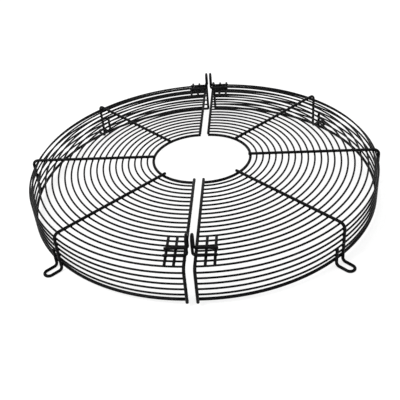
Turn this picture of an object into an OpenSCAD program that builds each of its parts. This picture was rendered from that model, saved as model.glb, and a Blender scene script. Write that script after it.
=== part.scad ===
// Two-part wire guard for a round axial fan.
//
// Each half is a welded basket of round wire: concentric rings in a flat grille and down a low
// side wall, bent ribs over them, and an edge wire along each end of the rings. Four of the ribs
// run on into hairpin feet, whose slots take the mounting screws. An upright eye stands by each
// end of the split, so that the halves can be tied together through facing pairs of eyes.
//
// Millimetres. The origin is on the fan's axis, in the plane that the feet stand on. The split
// lies in the YZ plane. The right half is built where it stands, about its own axis, and the
// left half is the same half turned by 180 degrees.

/* [Wire] */
// Diameter of the ring wire
ring_wire = 2.8; // [2.2:0.1:3]
// Diameter of the frame wire: ribs, edge wires, inner ring and base ring
frame_wire = 4.5; // [4:0.1:5]
// Diameter of the wire of the eyes and of their bars
latch_wire = 4; // [3.6:0.1:4.4]
// Depth that crossing wires sink into each other where they are welded
weld_depth = 0.35; // [0.25:0.05:0.45]

/* [Grille] */
// Number of thin rings in the flat grille
grille_rings = 19; // [15:1:19]
// Distance from one grille ring to the next
ring_pitch = 10; // [9:0.5:12]
// Radius of the thick inner ring
inner_radius = 71.5; // [60:0.5:85]
// Distance from the last grille ring out to the legs of the ribs
rim_gap = 8.7; // [8:0.1:11]
// Distance between the two edge wires, across the split
split_gap = 14; // [13:0.5:20]
// Distance from a half's own axis to its edge wires
edge_offset = 1.5; // [0.5:0.1:4]
// Length of rib and edge wire that stands past the inner ring
rib_overhang = 3.4; // [2.5:0.1:5]

/* [Side wall] */
// Height of the grille rings over the mounting plane
guard_height = 61.2; // [60:0.2:75]
// Number of thin rings in the side wall
side_rings = 5; // [3:1:5]
// Drop from the grille rings to the first side ring
side_drop = 5.8; // [5.8:0.1:7]
// Height of the thick base ring
base_height = 9.4; // [8.5:0.1:10.5]
// Distance from the base ring up to the last side ring
base_gap = 8.8; // [7:0.1:9.5]
// Bend radius of the ribs and edge wires at the rim
rim_bend = 8.5; // [7:0.5:8.5]
// Height of the lower ends of the edge wires
edge_end = 6.2; // [3:0.1:7]

/* [Feet] */
// Distance from one leg of a foot to the other
foot_width = 13.5; // [12:0.5:16]
// Distance from the legs out to the centre of the round end
foot_reach = 17; // [14:0.5:24]
// Bend radius of a foot where it turns outwards
foot_bend = 5; // [4:0.5:6]
// Height of the free end of the return leg
return_height = 31.6; // [28:0.2:34]

/* [Latch eyes] */
// Distance from the edge wire to the first bar
first_bar = 13; // [11:0.5:14]
// Distance from one bar to the other
bar_pitch = 12; // [10:0.5:14]
// Length of a bar
bar_length = 58; // [50:1:66]
// Length of bar that stands past the last grille ring
bar_overhang = 2; // [1:0.5:3]
// Distance from the legs of the ribs in to the middle of an eye
eye_inset = 30; // [26:0.5:36]
// Distance from one upright of an eye to the other
eye_width = 14; // [12:0.5:16]
// Height of an eye over its own legs
eye_height = 26; // [22:0.5:32]
// Distance from the edge wire to the plane of the eye
eye_stand_off = 3.3; // [2.5:0.1:4]
// Bend radius where the legs of an eye turn upwards
eye_bend = 4; // [3:0.5:5]
// Length of an eye's leg that stands past the last bar
eye_overhang = 3.5; // [2.5:0.5:6]

/* [Hidden] */
// Sizes are to the middle of the wire unless a name says otherwise.
HALVES = ["left", "right"];
ENDS = ["front", "back"];

coat = "#1a1b1d";
round_faces = 32;
ring_faces = 180;

// Each half's own axis stands this far from the split
half_shift = split_gap / 2 - edge_offset;

// Radii about a half's own axis
last_ring = inner_radius + grille_rings * ring_pitch;
rim_radius = last_ring + rim_gap;
side_radius = rim_radius - (frame_wire + ring_wire) / 2 + weld_depth;
base_radius = rim_radius - frame_wire + weld_depth;
rib_start = inner_radius - rib_overhang;

// Side rings share the wall evenly, and every ring ends just past the middle of an edge wire
side_top = guard_height - side_drop;
side_pitch = (side_top - base_height - base_gap) / (side_rings - 1);
ring_tail = 1;

// Heights of the layers: rings, then ribs and bars on the rings, then eyes on the bars
rib_height = guard_height + (ring_wire + frame_wire) / 2 - weld_depth;
inner_height = rib_height - frame_wire + weld_depth;
bar_height = guard_height + (ring_wire + latch_wire) / 2 - weld_depth;
eye_base = bar_height + latch_wire - weld_depth;
foot_height = frame_wire / 2;

// Footed ribs are turned so that the middle of each slot lies on a 45 degree line
slot_radius = rim_radius + (foot_bend + foot_reach) / 2;
foot_turn = asin(foot_width / 2 / slot_radius);

// Wire is laid as by a bending machine: each piece starts at the origin, heads along +Z, and
// hands its far end on to its children. A bend turns towards +X, or towards +X rolled by roll.
module run(length, wire) {
    cylinder(h = length, d = wire, $fn = round_faces);
    translate([0, 0, length]) children();
}

module bend(radius, angle, roll, wire) {
    rotate([0, 0, roll]) {
        translate([radius, 0, 0]) rotate([90, 0, 180])
            rotate_extrude(angle = angle, $fn = 4 * round_faces)
                translate([radius, 0]) circle(d = wire, $fn = round_faces);
        translate([radius * (1 - cos(angle)), 0, radius * sin(angle)])
            rotate([0, angle, 0]) rotate([0, 0, -roll]) children();
    }
}

// A half ring about a half's own axis, with its ends under the two edge wires
module half_ring(radius, height, wire) {
    reach = acos((edge_offset - ring_tail) / radius);
    color(coat)
        translate([0, 0, height]) rotate([0, 0, -reach])
            rotate_extrude(angle = 2 * reach, $fn = ring_faces)
                translate([radius, 0]) circle(d = wire, $fn = round_faces);
}

module inner_ring() half_ring(inner_radius, inner_height, frame_wire);

module grille_ring(n) half_ring(inner_radius + n * ring_pitch, guard_height, ring_wire);

module side_ring_set() {
    for (n = [0:side_rings - 1])
        half_ring(side_radius, side_top - n * side_pitch, ring_wire);
}

module base_ring() half_ring(base_radius, base_height, frame_wire);

// Frame wire from inner end start, outwards over the grille, round the rim and down the wall
module over_rim(start, rim, drop) {
    color(coat)
        translate([start, 0, rib_height]) rotate([0, 90, 0])
            run(rim - rim_bend - start, frame_wire)
                bend(rim_bend, 90, 0, frame_wire)
                    run(drop - rim_bend, frame_wire) children();
}

module middle_rib() {
    over_rim(rib_start, rim_radius, rib_height - (base_height - frame_wire));
}

// From the foot of a leg: out, round the end of the slot, back, and up the wall again. The way
// back is longer by what the round wall falls away across the foot, so that both legs touch it.
module foot() {
    flat = foot_reach - foot_bend;
    back = flat + rim_radius - sqrt(rim_radius ^ 2 - foot_width ^ 2);
    rise = return_height - foot_height - foot_bend;
    bend(foot_bend, 90, 180, frame_wire)
        run(flat, frame_wire)
            bend(foot_width / 2, 180, -90, frame_wire)
                run(back, frame_wire)
                    bend(foot_bend, 90, 180, frame_wire)
                        run(rise, frame_wire);
}

module footed_rib(side) {
    rotate([0, 0, 45 * side + foot_turn])
        over_rim(rib_start, rim_radius, rib_height - foot_height - foot_bend) foot();
}

module edge_wire(side) {
    start = sqrt(rib_start ^ 2 - edge_offset ^ 2);
    rim = sqrt(rim_radius ^ 2 - edge_offset ^ 2);
    translate([edge_offset, 0, 0]) rotate([0, 0, 90 * side])
        over_rim(start, rim, rib_height - edge_end);
}

// Two short bars beside each edge wire, laid across the outer grille rings
module latch_bars() {
    for (side = [-1, 1], n = [0, 1])
        color(coat)
            translate([
                edge_offset + first_bar + n * bar_pitch,
                side * (last_ring + bar_overhang),
                bar_height
            ])
                rotate([90 * side, 0, 0]) run(bar_length, latch_wire);
}

// A hairpin laid over the bars and the edge wire, and turned up beyond the edge wire
module eye(side) {
    leg = first_bar + bar_pitch + eye_overhang + eye_stand_off - eye_bend;
    upright = eye_height - eye_bend - eye_width / 2;
    color(coat)
        translate([
            edge_offset - eye_stand_off + eye_bend + leg,
            side * (rim_radius - eye_inset) - eye_width / 2,
            eye_base
        ])
            rotate([0, -90, 0])
                run(leg, latch_wire)
                    bend(eye_bend, 90, 0, latch_wire)
                        run(upright, latch_wire)
                            bend(eye_width / 2, 180, 90, latch_wire)
                                run(upright, latch_wire)
                                    bend(eye_bend, 90, 0, latch_wire)
                                        run(leg, latch_wire);
}

// A half stands about its own axis, and the left one is turned round to face the right one
module on_half(half) {
    rotate([0, 0, half == "right" ? 0 : 180]) translate([half_shift, 0, 0]) children();
}

// The side of a half, -1 or 1 along its own Y, that stands at the front or back of the guard
function side_of(half, end) = (half == "right") == (end == "front") ? -1 : 1;

for (half = HALVES) {
    on_half(half) inner_ring();
    for (n = [1:grille_rings])
        on_half(half) grille_ring(n);
    on_half(half) side_ring_set();
    on_half(half) base_ring();
    for (end = ENDS) {
        side = side_of(half, end);
        on_half(half) footed_rib(side);
        on_half(half) edge_wire(side);
        on_half(half) eye(side);
    }
    on_half(half) middle_rib();
    on_half(half) latch_bars();
}
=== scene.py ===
import math

import bpy
from mathutils import Matrix, Vector


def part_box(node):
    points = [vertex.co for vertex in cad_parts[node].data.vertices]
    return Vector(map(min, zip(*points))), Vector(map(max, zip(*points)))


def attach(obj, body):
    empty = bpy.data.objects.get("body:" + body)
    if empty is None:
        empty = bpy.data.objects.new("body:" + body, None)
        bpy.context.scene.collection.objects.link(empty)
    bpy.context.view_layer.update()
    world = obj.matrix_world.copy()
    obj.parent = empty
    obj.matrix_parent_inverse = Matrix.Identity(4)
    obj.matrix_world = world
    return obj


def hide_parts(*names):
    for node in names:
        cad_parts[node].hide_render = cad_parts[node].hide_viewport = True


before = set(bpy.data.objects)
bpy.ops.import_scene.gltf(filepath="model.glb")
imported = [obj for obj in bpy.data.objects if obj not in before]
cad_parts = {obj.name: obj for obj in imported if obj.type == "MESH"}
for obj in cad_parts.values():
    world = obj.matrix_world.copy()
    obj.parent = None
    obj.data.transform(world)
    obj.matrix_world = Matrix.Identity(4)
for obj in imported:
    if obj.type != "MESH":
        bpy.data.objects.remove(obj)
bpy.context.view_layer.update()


# ------------------------------------------------------------------------------------------------
# Inner ring: the heavy half ring round the hub opening, which carries the inner ends of the ribs.
# It is steel wire, bent cold on a wire bender and cut off square. Like every wire here it is
# coated black after welding, thickly enough to round off the cut ends.

HALF_AXIS = Vector((0.0055, 0, 0))      # the right half's own axis, out from the split
EDGE_LINE = 0.0015                      # from there to the line of the edge wires
RING_TAIL = 0.001                       # a ring runs this far past the middle of an edge wire
RING_STEPS = 96                         # straight steps round half a ring
FRAME_WIRE = 0.0045
INNER_RADIUS = 0.0715
WIRE_SIDES = 16
END_ROUNDING = 0.26                     # a cut end is rounded by this share of the wire's width
SMOOTH_BELOW = math.radians(50)

DOWN, UP, ALONG_X = Vector((0, 0, -1)), Vector((0, 0, 1)), Vector((1, 0, 0))

DEEP_BLACK = (0.0020, 0.0020, 0.0022, 1)
FADED_BLACK = (0.0080, 0.0080, 0.0090, 1)
SHINE = 0.05
GLOSSIEST, DULLEST = 0.20, 0.36                           # roughness
TONE_GRAIN, GLOSS_GRAIN, PEEL_GRAIN = 110, 160, 1400      # patches to a metre
PEEL_HEIGHT = 0.00008


def middle_height(node):
    """The height of the middle of a flat-lying CAD node."""
    low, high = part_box(node)
    return (low[2] + high[2]) / 2


def round_off_ends(piece, wire):
    """Rounds the two cut ends, which are the only faces with as many corners as the wire has sides."""
    bpy.ops.object.mode_set(mode="OBJECT")
    for part in (piece.data.vertices, piece.data.edges, piece.data.polygons):
        part.foreach_set("select", [False] * len(part))
    for face in piece.data.polygons:
        face.select = len(face.vertices) == WIRE_SIDES
    bpy.ops.object.mode_set(mode="EDIT")
    bpy.ops.mesh.bevel(offset=wire * END_ROUNDING, segments=3, affect="EDGES")


def bend_wire(name, wire, start, heading, moves):
    """Lays one wire from its cut end, as a wire bender does. A move is a length to run straight on,
    or a bend: its radius, its angle in degrees, the side that it turns to and its steps."""
    bpy.ops.object.select_all(action="DESELECT")
    at, heading = Vector(start), Vector(heading).normalized()
    bpy.ops.mesh.primitive_circle_add(
        vertices=WIRE_SIDES, radius=wire / 2, fill_type="NGON", location=at,
        rotation=heading.to_track_quat("Z", "Y").to_euler())
    piece = bpy.context.active_object
    piece.name = name
    bpy.ops.object.transform_apply(location=True, rotation=True, scale=True)
    bpy.ops.object.mode_set(mode="EDIT")
    bpy.ops.mesh.select_mode(type="FACE")
    bpy.ops.mesh.select_all(action="SELECT")
    for move in moves:
        if isinstance(move, float):
            bpy.ops.mesh.extrude_region_move(TRANSFORM_OT_translate={"value": heading * move})
            at = at + heading * move
        else:
            radius, degrees, side, steps = move
            turn, centre = math.radians(degrees), at + side * radius
            bpy.ops.mesh.spin(
                steps=steps, angle=turn, center=centre, axis=side.cross(heading))
            at = centre + (heading * math.sin(turn) - side * math.cos(turn)) * radius
            heading = heading * math.cos(turn) + side * math.sin(turn)
    round_off_ends(piece, wire)
    bpy.ops.mesh.select_all(action="SELECT")
    bpy.ops.mesh.remove_doubles(threshold=1e-6)
    bpy.ops.mesh.normals_make_consistent(inside=False)
    bpy.ops.object.mode_set(mode="OBJECT")
    bpy.ops.object.shade_smooth_by_angle(angle=SMOOTH_BELOW)
    return piece


def half_ring(name, wire, radius, height):
    """A half ring about the right half's own axis, with its ends under the two edge wires."""
    reach = math.acos((EDGE_LINE - RING_TAIL) / radius)
    inwards = Vector((-math.cos(reach), math.sin(reach), 0))
    start = HALF_AXIS - inwards * radius + UP * height
    heading = (math.sin(reach), math.cos(reach), 0)
    return bend_wire(name, wire, start, heading,
                     [(radius, math.degrees(2 * reach), inwards, RING_STEPS)])


def black_coating():
    """Satin black coating: a fine orange peel, patches a little glossier and patches a little duller,
    and a black that isn't quite even."""
    coating = bpy.data.materials.new("black_wire_coating")
    coating.use_nodes = True
    nodes, links = coating.node_tree.nodes, coating.node_tree.links
    shader = nodes["Principled BSDF"]
    shader.inputs["Specular IOR Level"].default_value = SHINE
    place = nodes.new("ShaderNodeTexCoord")

    def patches(grain, detail):
        noise = nodes.new("ShaderNodeTexNoise")
        noise.inputs["Scale"].default_value = grain
        noise.inputs["Detail"].default_value = detail
        links.new(place.outputs["Object"], noise.inputs["Vector"])
        return noise.outputs["Fac"]

    tone = nodes.new("ShaderNodeValToRGB")
    deep, faded = tone.color_ramp.elements
    deep.position, deep.color = 0.38, DEEP_BLACK
    faded.position, faded.color = 0.68, FADED_BLACK
    links.new(patches(TONE_GRAIN, 5), tone.inputs["Fac"])
    links.new(tone.outputs["Color"], shader.inputs["Base Color"])

    gloss = nodes.new("ShaderNodeMapRange")
    gloss.inputs["From Min"].default_value, gloss.inputs["From Max"].default_value = 0.3, 0.7
    gloss.inputs["To Min"].default_value = GLOSSIEST
    gloss.inputs["To Max"].default_value = DULLEST
    links.new(patches(GLOSS_GRAIN, 2), gloss.inputs["Value"])
    links.new(gloss.outputs["Result"], shader.inputs["Roughness"])

    peel = nodes.new("ShaderNodeBump")
    peel.inputs["Strength"].default_value = 0.6
    peel.inputs["Distance"].default_value = PEEL_HEIGHT
    links.new(patches(PEEL_GRAIN, 2), peel.inputs["Height"])
    links.new(peel.outputs["Normal"], shader.inputs["Normal"])
    return coating


COATING = black_coating()


def take_up(*pieces):
    """Selects these pieces and nothing else, the first of them as the one to work on."""
    bpy.ops.object.select_all(action="DESELECT")
    for piece in pieces:
        piece.select_set(True)
    bpy.context.view_layer.objects.active = pieces[0]


def turned_round(piece, name):
    """A copy of a right-hand piece, turned about the fan's axis into its place in the left half."""
    take_up(piece)
    bpy.ops.object.duplicate()
    copy = bpy.context.active_object
    copy.name = name
    copy.rotation_euler.z = math.pi
    bpy.ops.object.transform_apply(location=True, rotation=True, scale=True)
    return copy


def fit(piece, right_node, left_node):
    """Coats a piece, gives it its place in the right half, and its turned copy that in the left."""
    piece.data.materials.append(COATING)
    for wire, node in ((piece, right_node), (turned_round(piece, left_node + "_wire"), left_node)):
        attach(wire, "root")
        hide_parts(node)


fit(half_ring("right_inner_ring_wire", FRAME_WIRE, INNER_RADIUS, middle_height("right_inner_ring")),
    "right_inner_ring", "left_inner_ring")


# ------------------------------------------------------------------------------------------------
# Grille rings: thin steel wire in even steps out from the inner ring, close enough to keep
# fingers out. They lie under the ribs, so the ribs take the load of a knock on the grille.

RING_WIRE = 0.0028
RING_PITCH = 0.010
GRILLE_RINGS = 19
GRILLE_RADII = [INNER_RADIUS + number * RING_PITCH for number in range(1, GRILLE_RINGS + 1)]

for number, radius in enumerate(GRILLE_RADII, start=1):
    node = f"grille_ring_{number}"
    fit(half_ring(f"right_{node}_wire", RING_WIRE, radius, middle_height(f"right_{node}")),
        f"right_{node}", f"left_{node}")


# ------------------------------------------------------------------------------------------------
# Side wall: five thin rings and a heavy base ring, one under another against the inner side of the
# legs of the ribs. The side rings share the wall evenly, and the base ring stiffens its lower rim.

SIDE_RINGS = 5
SIDE_RADIUS = 0.2669
BASE_RADIUS = 0.26605

side_low, side_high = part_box("right_side_rings")
side_bottom, side_top = side_low[2] + RING_WIRE / 2, side_high[2] - RING_WIRE / 2
SIDE_HEIGHTS = [side_top + (side_bottom - side_top) * number / (SIDE_RINGS - 1)
                for number in range(SIDE_RINGS)]
BASE_HEIGHT = middle_height("right_base_ring")


def joined(pieces, name):
    """Makes several meshes one piece."""
    take_up(*pieces)
    bpy.ops.object.join()
    pieces[0].name = name
    return pieces[0]


fit(joined([half_ring(f"right_side_ring_{number}_wire", RING_WIRE, SIDE_RADIUS, height)
            for number, height in enumerate(SIDE_HEIGHTS)], "right_side_rings_wire"),
    "right_side_rings", "left_side_rings")

fit(half_ring("right_base_ring_wire", FRAME_WIRE, BASE_RADIUS, BASE_HEIGHT),
    "right_base_ring", "left_base_ring")


# ------------------------------------------------------------------------------------------------
# Ribs: heavy wire welded across the rings, from just inside the inner ring out over the grille,
# round the rim and down the wall. The middle rib stops just under the base ring, and the other two
# run on into a hairpin foot: out, round the end of a screw slot, back, and up the wall again.

RIM_RADIUS = 0.2702
RIM_BEND = 0.0085
RIB_OVERHANG = 0.0034
RIB_START = INNER_RADIUS - RIB_OVERHANG
RIB_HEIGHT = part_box("right_middle_rib")[1][2] - FRAME_WIRE / 2
RIB_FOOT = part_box("right_middle_rib")[0][2]
FOOT_WIDTH = 0.0135
FOOT_REACH = 0.017
FOOT_BEND = 0.005
FOOT_HEIGHT = FRAME_WIRE / 2
RETURN_HEIGHT = 0.0316
FOOT_OUT = FOOT_REACH - FOOT_BEND
FOOT_BACK = FOOT_OUT + RIM_RADIUS - math.sqrt(RIM_RADIUS ** 2 - FOOT_WIDTH ** 2)
FOOT_TURN = math.asin(FOOT_WIDTH / 2 / (RIM_RADIUS + (FOOT_BEND + FOOT_REACH) / 2))

# The two ends of the right half, what each is called once it is turned round, and its side in Y.
ENDS = (("front", "back", -1), ("back", "front", 1))


def over_rim(start, rim, lowest):
    """The moves that take a frame wire out over the grille, round the rim and down the wall."""
    return [rim - RIM_BEND - start, (RIM_BEND, 90, DOWN, 10), RIB_HEIGHT - RIM_BEND - lowest]


def footed_rib(side):
    """Which way a footed rib runs out, and which way its foot goes across."""
    turn = math.radians(45 * side) + FOOT_TURN
    return (Vector((math.cos(turn), math.sin(turn), 0)),
            Vector((math.sin(turn), -math.cos(turn), 0)))


fit(bend_wire("right_middle_rib_wire", FRAME_WIRE,
              HALF_AXIS + Vector((RIB_START, 0, RIB_HEIGHT)), ALONG_X,
              over_rim(RIB_START, RIM_RADIUS, RIB_FOOT)),
    "right_middle_rib", "left_middle_rib")

for end, other_end, side in ENDS:
    out, across = footed_rib(side)
    foot = [(FOOT_BEND, 90, out, 8), FOOT_OUT, (FOOT_WIDTH / 2, 180, across, 16), FOOT_BACK,
            (FOOT_BEND, 90, UP, 8), RETURN_HEIGHT - FOOT_HEIGHT - FOOT_BEND]
    fit(bend_wire(f"right_{end}_rib_wire", FRAME_WIRE,
                  HALF_AXIS + out * RIB_START + UP * RIB_HEIGHT, out,
                  over_rim(RIB_START, RIM_RADIUS, FOOT_HEIGHT + FOOT_BEND) + foot),
        f"right_{end}_rib", f"left_{other_end}_rib")


# ------------------------------------------------------------------------------------------------
# Edge wires: the same heavy wire as the ribs, one along each end of the rings beside the split.
# They close off the ends of the rings, turn down at the rim and stop just over the mounting plane.

EDGE_START = math.sqrt(RIB_START ** 2 - EDGE_LINE ** 2)
EDGE_RIM = math.sqrt(RIM_RADIUS ** 2 - EDGE_LINE ** 2)

for end, other_end, side in ENDS:
    fit(bend_wire(f"right_{end}_edge_wire_wire", FRAME_WIRE,
                  HALF_AXIS + Vector((EDGE_LINE, side * EDGE_START, RIB_HEIGHT)), (0, side, 0),
                  over_rim(EDGE_START, EDGE_RIM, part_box(f"right_{end}_edge_wire")[0][2])),
        f"right_{end}_edge_wire", f"left_{other_end}_edge_wire")


# ------------------------------------------------------------------------------------------------
# Latch bars: two short straight wires beside each edge wire, welded across the outer grille rings.
# They stiffen the grille where the eyes pull on it, and the legs of the eyes lie across them.

LATCH_WIRE = 0.004
FIRST_BAR = 0.013
BAR_PITCH = 0.012
BAR_LINES = [EDGE_LINE + FIRST_BAR + number * BAR_PITCH for number in (0, 1)]
BAR_LENGTH = 0.058
BAR_OVERHANG = 0.002
BAR_END = GRILLE_RADII[-1] + BAR_OVERHANG
BAR_HEIGHT = middle_height("right_latch_bars")

bars = []
for side in (-1, 1):
    for line in BAR_LINES:
        bars.append(bend_wire(f"right_bar_{len(bars)}_wire", LATCH_WIRE,
                              HALF_AXIS + Vector((line, side * BAR_END, BAR_HEIGHT)),
                              (0, -side, 0), [BAR_LENGTH / 2, BAR_LENGTH / 2]))
fit(joined(bars, "right_latch_bars_wire"), "right_latch_bars", "left_latch_bars")


# ------------------------------------------------------------------------------------------------
# Latch eyes: a hairpin with both legs laid across the bars and the edge wire, turned up where it
# passes the edge wire. Facing eyes stand close together, and a bolt or tie through both holds the
# two halves to each other.

EYE_INSET = 0.030
EYE_RADIUS = RIM_RADIUS - EYE_INSET
EYE_WIDTH = 0.014
EYE_HEIGHT = 0.026
EYE_STAND_OFF = 0.0033
EYE_BEND = 0.004
EYE_OVERHANG = 0.0035
EYE_LEG = FIRST_BAR + BAR_PITCH + EYE_OVERHANG + EYE_STAND_OFF - EYE_BEND
EYE_UPRIGHT = EYE_HEIGHT - EYE_BEND - EYE_WIDTH / 2
EYE_LINE = EDGE_LINE - EYE_STAND_OFF
EYE_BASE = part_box("right_front_eye")[0][2] + LATCH_WIRE / 2

for end, other_end, side in ENDS:
    tail = HALF_AXIS + Vector((EYE_LINE + EYE_BEND + EYE_LEG, side * EYE_RADIUS - EYE_WIDTH / 2,
                               EYE_BASE))
    fit(bend_wire(f"right_{end}_eye_wire", LATCH_WIRE, tail, (-1, 0, 0),
                  [EYE_LEG, (EYE_BEND, 90, UP, 8), EYE_UPRIGHT,
                   (EYE_WIDTH / 2, 180, Vector((0, 1, 0)), 20), EYE_UPRIGHT,
                   (EYE_BEND, 90, ALONG_X, 8), EYE_LEG]),
        f"right_{end}_eye", f"left_{other_end}_eye")


# ------------------------------------------------------------------------------------------------
# Welds: every crossing is resistance welded, which sinks the wires a little into each other and
# squeezes a small bead of steel into the crease between them. The coating flows over it.

WELD_DEPTH = 0.00035
BEAD_SHAPE = (0.0017, 0.0023, 0.0010)   # half its length along the upper wire, width and height
BEAD_UNEVENNESS = 0.00012
GRILLE_WELD = middle_height("right_grille_ring_1") + (RING_WIRE - WELD_DEPTH) / 2
INNER_WELD = middle_height("right_inner_ring") + (FRAME_WIRE - WELD_DEPTH) / 2
BAR_WELD = EYE_BASE - (LATCH_WIRE - WELD_DEPTH) / 2
EDGE_WELD = (EYE_BASE - LATCH_WIRE / 2 + RIB_HEIGHT + FRAME_WIRE / 2) / 2
WALL_WELD = SIDE_RADIUS + (RING_WIRE - WELD_DEPTH) / 2

bpy.ops.object.select_all(action="DESELECT")
bpy.ops.mesh.primitive_uv_sphere_add(segments=10, ring_count=6, radius=1, location=(0, 0, 0))
bead = bpy.context.active_object
bpy.ops.object.mode_set(mode="EDIT")
bpy.ops.mesh.select_all(action="SELECT")
bpy.ops.transform.resize(value=BEAD_SHAPE)
bpy.ops.transform.vertex_random(offset=BEAD_UNEVENNESS, uniform=0.4, normal=0.6, seed=5)
bpy.ops.object.mode_set(mode="OBJECT")
bpy.ops.object.shade_smooth()
bead.data.materials.append(COATING)


def weld(place, along, away):
    """Copies the bead to a crossing: along the upper wire, and flat between the two."""
    take_up(bead)
    bpy.ops.object.duplicate()
    copy = bpy.context.active_object
    lie = Matrix((along, away.cross(along), away)).transposed().to_4x4()
    copy.matrix_world = Matrix.Translation(HALF_AXIS + place) @ lie
    return copy


def crossing(line, out, radius):
    """Where a straight wire that runs out, beside the half's axis by line, crosses a radius."""
    return line + out * math.sqrt(radius ** 2 - line.length_squared)


def grille_welds(line, out, low=0, high=RIM_RADIUS):
    """One wire over the grille rings, as far as it reaches from low to high."""
    spots = [crossing(line, out, radius) for radius in GRILLE_RADII]
    return [weld(spot + UP * GRILLE_WELD, out, UP) for spot in spots if low < spot.dot(out) < high]


def wall_welds(line, out, top):
    """One leg against the side rings and the base ring, up to its own top."""
    touch = crossing(line, out, WALL_WELD)
    return [weld(touch + UP * height, DOWN, touch.normalized())
            for height in SIDE_HEIGHTS + [BASE_HEIGHT] if height < top]


def frame_welds(line, out):
    """One frame wire over the inner ring and the grille rings, and down the wall."""
    return ([weld(crossing(line, out, INNER_RADIUS) + UP * INNER_WELD, out, UP)]
            + grille_welds(line, out) + wall_welds(line, out, RIB_HEIGHT))


def fit_welds(beads, right_name, left_name):
    """The beads of one wire are one piece, and its turned copy serves the left half."""
    piece = joined(beads, right_name)
    bpy.ops.object.transform_apply(location=True, rotation=True, scale=True)
    for welds in (piece, turned_round(piece, left_name)):
        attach(welds, "root")


ON_AXIS = Vector((0, 0, 0))
fit_welds(frame_welds(ON_AXIS, ALONG_X), "right_middle_rib_welds", "left_middle_rib_welds")
for end, other_end, side in ENDS:
    out, across = footed_rib(side)
    fit_welds(frame_welds(ON_AXIS, out) + wall_welds(across * FOOT_WIDTH, out, RETURN_HEIGHT),
              f"right_{end}_rib_welds", f"left_{other_end}_rib_welds")

    out = Vector((0, side, 0))
    fit_welds(frame_welds(ALONG_X * EDGE_LINE, out),
              f"right_{end}_edge_welds", f"left_{other_end}_edge_welds")

    bar_welds = []
    for line in BAR_LINES:
        bar_welds += grille_welds(ALONG_X * line, out, BAR_END - BAR_LENGTH, BAR_END)
    fit_welds(bar_welds, f"right_{end}_bar_welds", f"left_{other_end}_bar_welds")

    eye_welds = []
    for line, height in [(line, BAR_WELD) for line in BAR_LINES] + [(EDGE_LINE, EDGE_WELD)]:
        for leg in (-EYE_WIDTH / 2, EYE_WIDTH / 2):
            spot = ALONG_X * line + out * (EYE_RADIUS + leg) + UP * height
            eye_welds.append(weld(spot, ALONG_X, UP))
    fit_welds(eye_welds, f"right_{end}_eye_welds", f"left_{other_end}_eye_welds")

bpy.data.objects.remove(bead)


# ------------------------------------------------------------------------------------------------
# Table: a wide sheet of matt white paper that the guard stands on, and that fades into the room.
# It keeps a faint shadow of the guard, and it is clear from below, so the underside can be seen.

TABLE_WIDTH = 12
PAPER_WHITE = (0.8, 0.8, 0.8, 1)        # as it lights the guard
PAPER_SHADE = (0.4, 0.4, 0.4, 1)        # as it is seen, with the glow added
PAPER_GLOW = 0.77


def where_seen(nodes, links):
    """1 for what is looked at, straight or in a reflection, and 0 for what only gives light."""
    ray = nodes.new("ShaderNodeLightPath")
    seen = ray.outputs["Is Camera Ray"]
    for kind in ("Is Glossy Ray", "Is Transmission Ray"):
        either = nodes.new("ShaderNodeMath")
        either.operation = "MAXIMUM"
        links.new(seen, either.inputs[0])
        links.new(ray.outputs[kind], either.inputs[1])
        seen = either.outputs[0]
    return seen


bpy.ops.object.select_all(action="DESELECT")
bpy.ops.mesh.primitive_plane_add(size=TABLE_WIDTH, location=(0, 0, 0))
table = bpy.context.active_object
table.name = "table"
white = bpy.data.materials.new("white_table")
white.use_nodes = True
nodes, links = white.node_tree.nodes, white.node_tree.links
nodes.clear()
paper = nodes.new("ShaderNodeBsdfDiffuse")
paper.inputs["Color"].default_value = PAPER_WHITE
shade = nodes.new("ShaderNodeBsdfDiffuse")
shade.inputs["Color"].default_value = PAPER_SHADE
glow = nodes.new("ShaderNodeEmission")
glow.inputs["Strength"].default_value = PAPER_GLOW
shown = nodes.new("ShaderNodeAddShader")
links.new(shade.outputs[0], shown.inputs[0])
links.new(glow.outputs[0], shown.inputs[1])
top = nodes.new("ShaderNodeMixShader")
links.new(where_seen(nodes, links), top.inputs[0])
links.new(paper.outputs[0], top.inputs[1])
links.new(shown.outputs[0], top.inputs[2])
facing = nodes.new("ShaderNodeNewGeometry")
clear = nodes.new("ShaderNodeBsdfTransparent")
one_sided = nodes.new("ShaderNodeMixShader")
links.new(facing.outputs["Backfacing"], one_sided.inputs[0])
links.new(top.outputs[0], one_sided.inputs[1])
links.new(clear.outputs[0], one_sided.inputs[2])
surface = nodes.new("ShaderNodeOutputMaterial")
links.new(one_sided.outputs[0], surface.inputs["Surface"])
table.data.materials.append(white)


# ------------------------------------------------------------------------------------------------
# Room and lamp: a white room that lights the guard softly from all sides, and one soft box over
# the left shoulder, which gives the wires their faint edge of light.

ROOM_LIGHT = 0.7
LAMP_PLACE = (-0.9, -0.7, 1.6)
LAMP_WIDTH = 0.5
LAMP_POWER = 16

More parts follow.
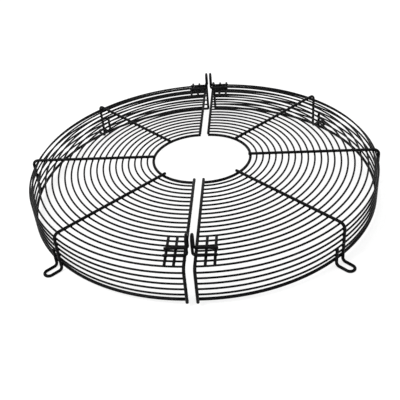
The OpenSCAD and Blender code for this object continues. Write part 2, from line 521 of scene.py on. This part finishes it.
room = bpy.data.worlds.new("white_room")
bpy.context.scene.world = room
room.use_nodes = True
nodes, links = room.node_tree.nodes, room.node_tree.links
nodes.clear()
walls = nodes.new("ShaderNodeMixShader")
links.new(where_seen(nodes, links), walls.inputs[0])
for strength, socket in ((ROOM_LIGHT, walls.inputs[1]), (1, walls.inputs[2])):
    wall = nodes.new("ShaderNodeBackground")
    wall.inputs["Color"].default_value = (1, 1, 1, 1)
    wall.inputs["Strength"].default_value = strength
    links.new(wall.outputs[0], socket)
surface = nodes.new("ShaderNodeOutputWorld")
links.new(walls.outputs[0], surface.inputs["Surface"])

bpy.ops.object.light_add(type="AREA", location=LAMP_PLACE)
lamp = bpy.context.active_object
lamp.rotation_euler = (-lamp.location).to_track_quat("-Z", "Y").to_euler()
lamp.data.size = LAMP_WIDTH
lamp.data.energy = LAMP_POWER


# ------------------------------------------------------------------------------------------------
# Camera: it stands a metre off in front, about a third of the way up to straight overhead, and is
# tipped a little to one side.

VIEW_AZIMUTH = math.radians(-5.981)
VIEW_HEIGHT = math.radians(31.392)
VIEW_TIP = math.radians(-5.308)
VIEW_DISTANCE = 1.008835
LENS = 56.99

aim = Vector((0.004357, -0.118021, middle_height("right_grille_ring_1")))
stand = Vector((-math.sin(VIEW_AZIMUTH) * math.cos(VIEW_HEIGHT),
                -math.cos(VIEW_AZIMUTH) * math.cos(VIEW_HEIGHT),
                math.sin(VIEW_HEIGHT))) * VIEW_DISTANCE + UP * aim.z
looking = (aim - stand).normalized()
right = looking.cross(UP).normalized()
upwards = right.cross(looking)
tipped = Matrix((right * math.cos(VIEW_TIP) + upwards * math.sin(VIEW_TIP),
                 upwards * math.cos(VIEW_TIP) - right * math.sin(VIEW_TIP),
                 -looking)).transposed()
camera = bpy.data.objects.new("camera", bpy.data.cameras.new("camera"))
bpy.context.collection.objects.link(camera)
camera.matrix_world = Matrix.Translation(stand) @ tipped.to_4x4()
camera.data.lens = LENS
camera.data.sensor_width = 36
bpy.context.scene.camera = camera
bpy.context.scene.view_settings.view_transform = "Standard"
